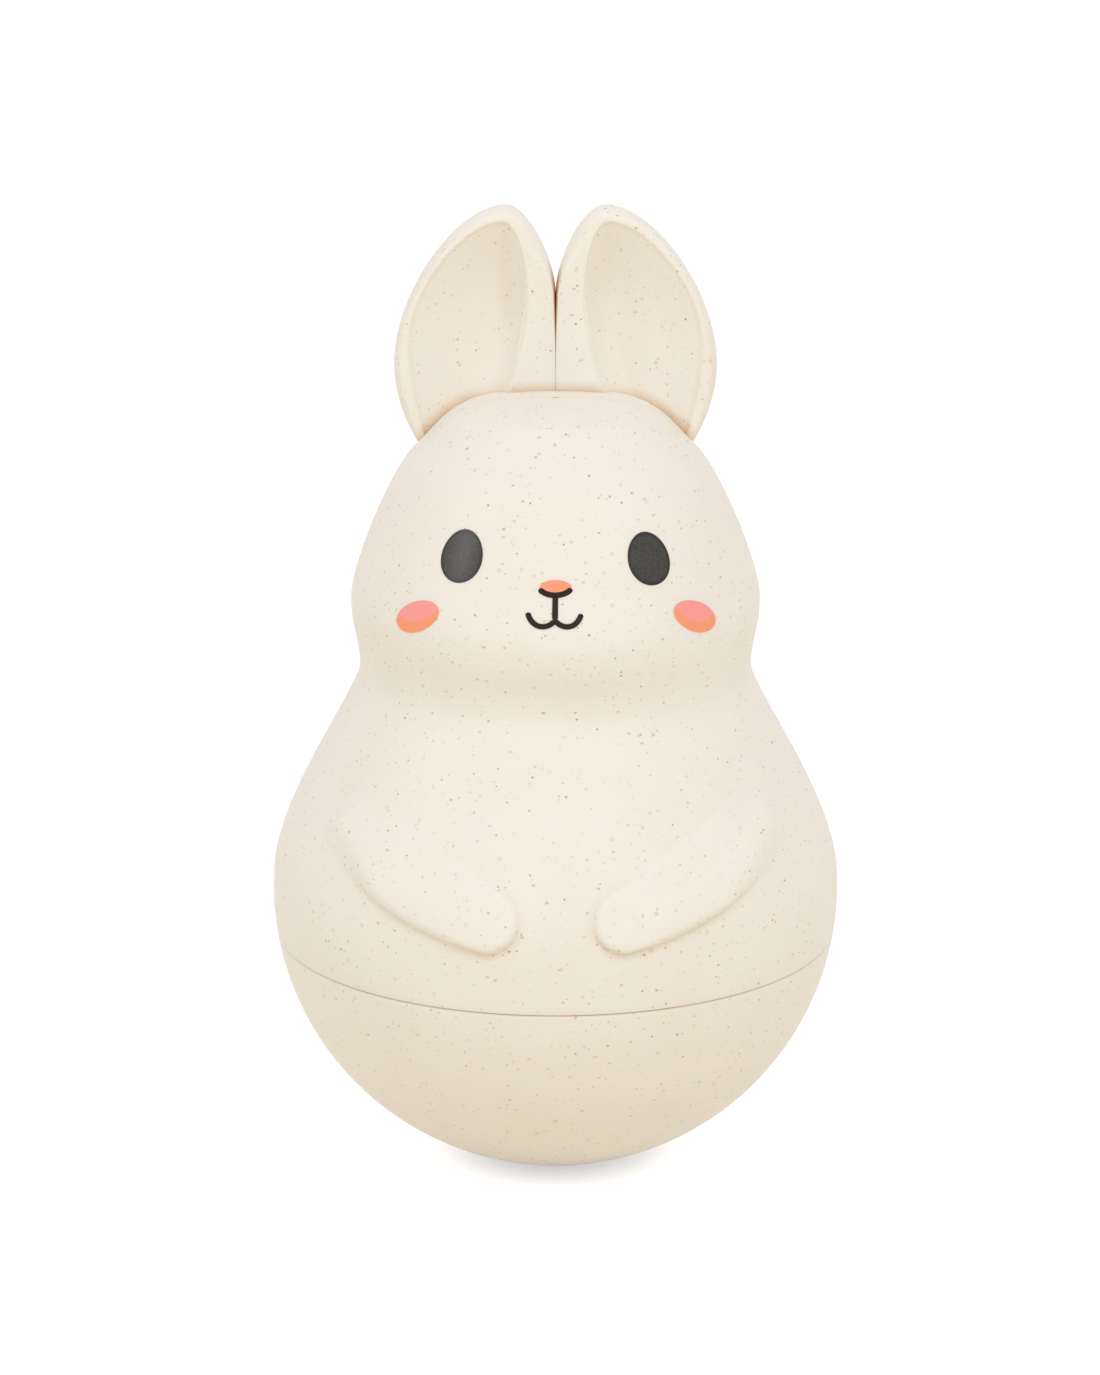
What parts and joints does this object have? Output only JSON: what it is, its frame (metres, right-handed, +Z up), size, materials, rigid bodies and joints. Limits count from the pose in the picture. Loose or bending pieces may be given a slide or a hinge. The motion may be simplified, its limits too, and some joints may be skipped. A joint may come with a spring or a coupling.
{
  "type": "roly-poly toy",
  "caption": "Self-righting rabbit toy: a weighted ball base, a pear-shaped body with relief arms, hollow ears, and a chime inside that a hanging striker rings as it rocks.",
  "frame": {"origin": "centre of the small flat under the ball, on the surface that the toy stands on", "axes": "+Z up from the foot to the ears, the face looks along -Y, +X to the toy's own left"},
  "size_m": [0.09, 0.0904, 0.153],
  "materials": {
    "speckled_plastic": "satin moulded plastic with plant-fibre flecks",
    "cast_iron": "raw casting with a sandy skin",
    "plain_plastic": "plain moulded plastic",
    "steel": "bright drawn steel",
    "chime_metal": "drawn aluminium",
    "brass": "turned brass",
    "bob_wood": "turned beech, bare"
  },
  "bodies": {
    "toy": {"base_bowl": "speckled_plastic", "front_shell": "speckled_plastic", "back_shell": "speckled_plastic", "left_ear": "speckled_plastic", "right_ear": "speckled_plastic", "ballast_weight": "cast_iron", "ballast_plate": "plain_plastic", "ballast_screws": "steel", "chime_block": "plain_plastic", "chime_screw": "steel", "chime_rod_1": "chime_metal", "chime_rod_2": "chime_metal", "chime_rod_3": "chime_metal", "chime_rod_4": "chime_metal", "striker_bridge": "steel", "link_collars": "brass"},
    "link": {"swing_link": "plain_plastic"},
    "striker": {"striker_pin": "steel", "striker_stem": "plain_plastic", "striker_bob": "bob_wood"}
  },
  "joints": [
    {"name": "link_swing", "type": "hinge", "parent": "toy", "child": "link", "pos_m": [0, 0, 0.068], "axis": [1, 0, 0], "range_deg": [-9.5, 9.5]},
    {"name": "striker_swing", "type": "hinge", "parent": "link", "child": "striker", "pos_m": [0, 0, 0.06], "axis": [0, 1, 0], "range_deg": [-13, 13]}
  ]
}
